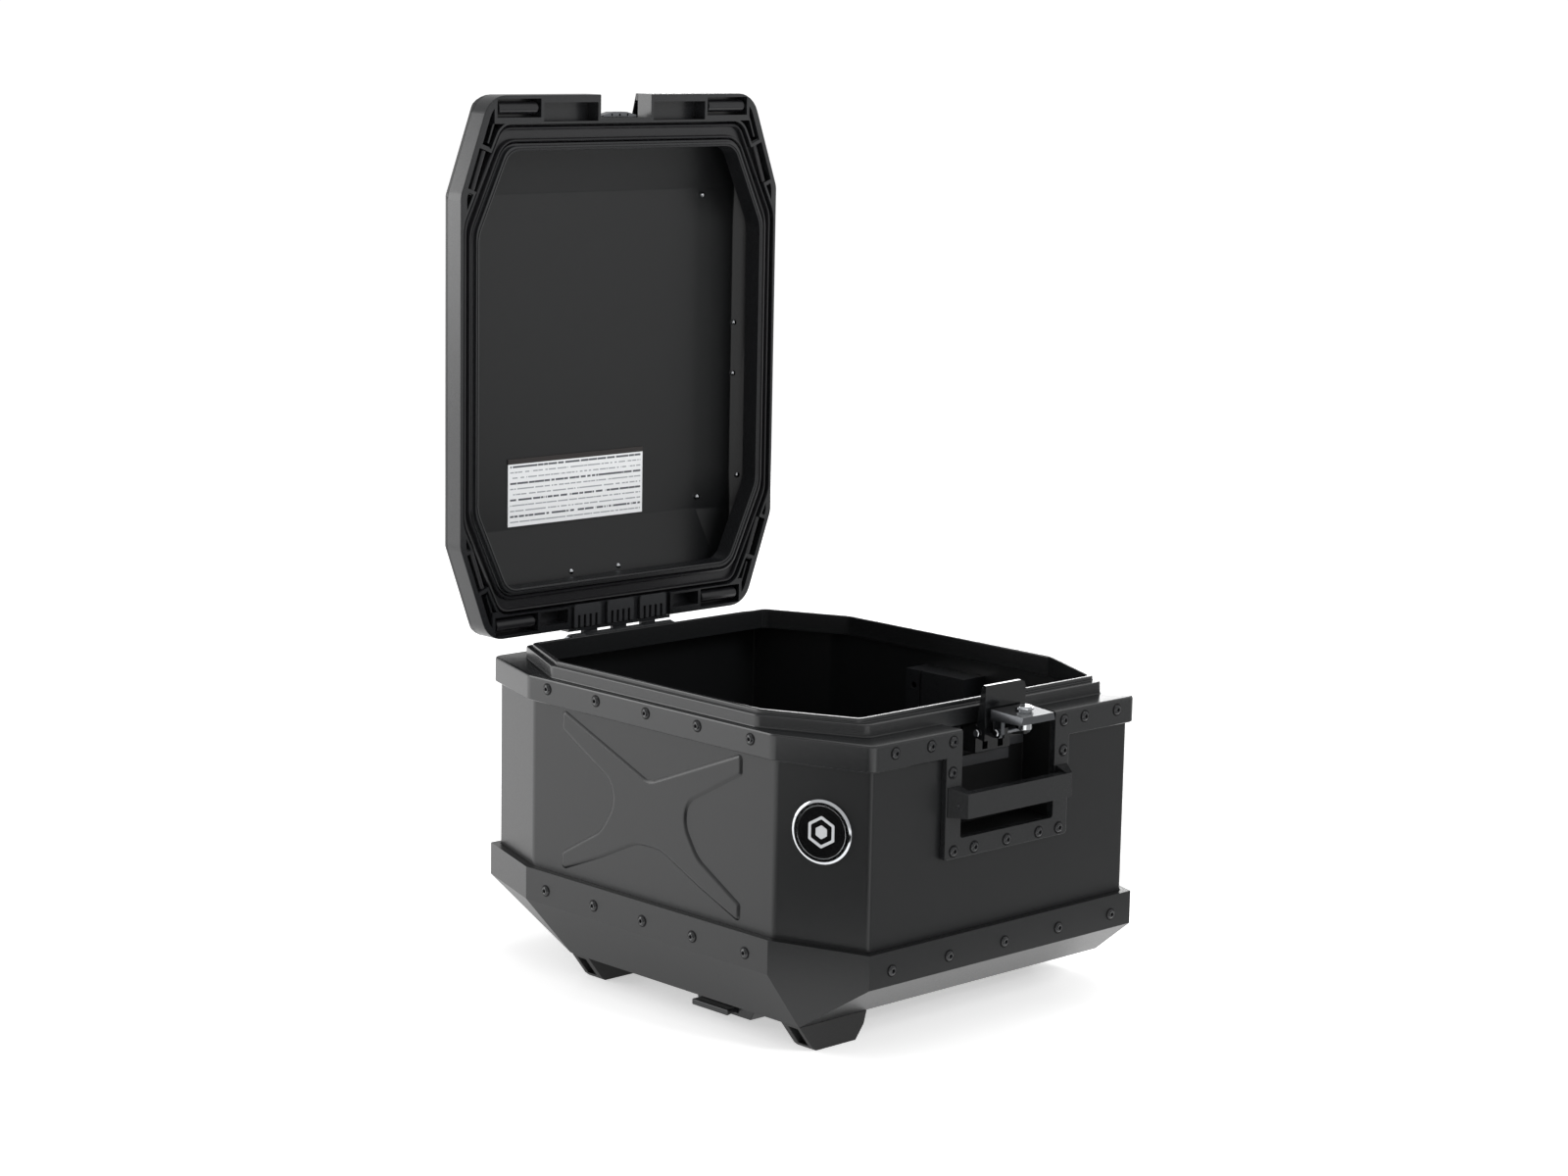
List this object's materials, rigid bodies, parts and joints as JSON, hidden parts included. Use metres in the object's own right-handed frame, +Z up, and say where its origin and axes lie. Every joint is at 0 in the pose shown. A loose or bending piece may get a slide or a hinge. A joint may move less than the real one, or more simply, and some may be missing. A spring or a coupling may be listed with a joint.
{
  "type": "motorcycle saddlebag",
  "caption": "Rigid eight-sided motorcycle case with a hinged lid shown open, a front latch, a carrying handle in a recess and corner feet.",
  "frame": {"origin": "middle of the flat seat under the floor; the feet reach 22 mm below it", "axes": "+Z up; the latch and handle face -Y; the hinge and the open lid are at +Y; the long sides face -X and +X"},
  "size_m": [0.3674, 0.5475, 0.7347],
  "materials": {
    "shell_coat": "black powder coat, satin",
    "moulded_plastic": "fine moulded grain",
    "smooth_plastic": "smooth moulded black",
    "seal_rubber": "soft matt",
    "zinc_steel": "zinc plated",
    "bright_metal": "polished",
    "label_film": "plain printed film"
  },
  "bodies": {
    "case": {"bottom_tray": "shell_coat", "wall_shell": "shell_coat", "rim_collar": "moulded_plastic", "recess_pocket": "moulded_plastic", "handle_bar": "moulded_plastic", "handle_bolt_left": "zinc_steel", "handle_bolt_right": "zinc_steel", "foot_front_left": "moulded_plastic", "foot_front_right": "moulded_plastic", "foot_rear_left": "moulded_plastic", "foot_rear_right": "moulded_plastic", "foot_bolt_front_left": "zinc_steel", "foot_bolt_front_right": "zinc_steel", "foot_bolt_rear_left": "zinc_steel", "foot_bolt_rear_right": "zinc_steel", "rack_guide": "moulded_plastic", "hinge_base": "zinc_steel", "hinge_pin": "zinc_steel", "badge_ring": "bright_metal", "badge_disc": "smooth_plastic", "side_cover": "moulded_plastic", "latch_base": "moulded_plastic", "hook_pin": "bright_metal"},
    "slide": {"release_slide": "moulded_plastic"},
    "hook": {"hook_lever": "smooth_plastic", "flap_pin": "bright_metal"},
    "flap": {"lock_flap": "smooth_plastic"},
    "key": {"key_cylinder": "bright_metal"},
    "lid": {"lid_frame": "moulded_plastic", "lid_shell": "shell_coat", "lid_gasket": "seal_rubber", "strap_bar_1": "moulded_plastic", "strap_bar_2": "moulded_plastic", "strap_bar_3": "moulded_plastic", "strap_bar_4": "moulded_plastic", "corner_bar_1": "moulded_plastic", "corner_bar_2": "moulded_plastic", "corner_bar_3": "moulded_plastic", "corner_bar_4": "moulded_plastic", "hinge_leaf": "zinc_steel", "hinge_cover_1": "moulded_plastic", "hinge_cover_2": "moulded_plastic", "hinge_cover_3": "moulded_plastic", "striker_plate": "zinc_steel", "label": "label_film"}
  },
  "joints": [
    {"name": "lid_hinge", "type": "hinge", "parent": "case", "child": "lid", "pos_m": [0, 0.24145, 0.23525], "axis": [1, 0, 0], "range_deg": [0, 90]},
    {"name": "hook_tilt", "type": "hinge", "parent": "case", "child": "hook", "pos_m": [0, -0.2185, 0.2245], "axis": [-1, 0, 0], "range_deg": [0, 6]},
    {"name": "flap_fold", "type": "hinge", "parent": "hook", "child": "flap", "pos_m": [0, -0.2345, 0.2265], "axis": [1, 0, 0], "range_deg": [0, 80]},
    {"name": "key_turn", "type": "hinge", "parent": "flap", "child": "key", "pos_m": [0.002, -0.245, 0.24], "axis": [0, 0, 1], "range_deg": [0, 90]},
    {"name": "release_pull", "type": "slide", "parent": "case", "child": "slide", "axis": [-1, 0, 0], "range_m": [0, 0.01]}
  ],
  "couplings": [
    {"joint": "hook_tilt", "follows": "flap_fold", "ratio": 0.075}
  ]
}
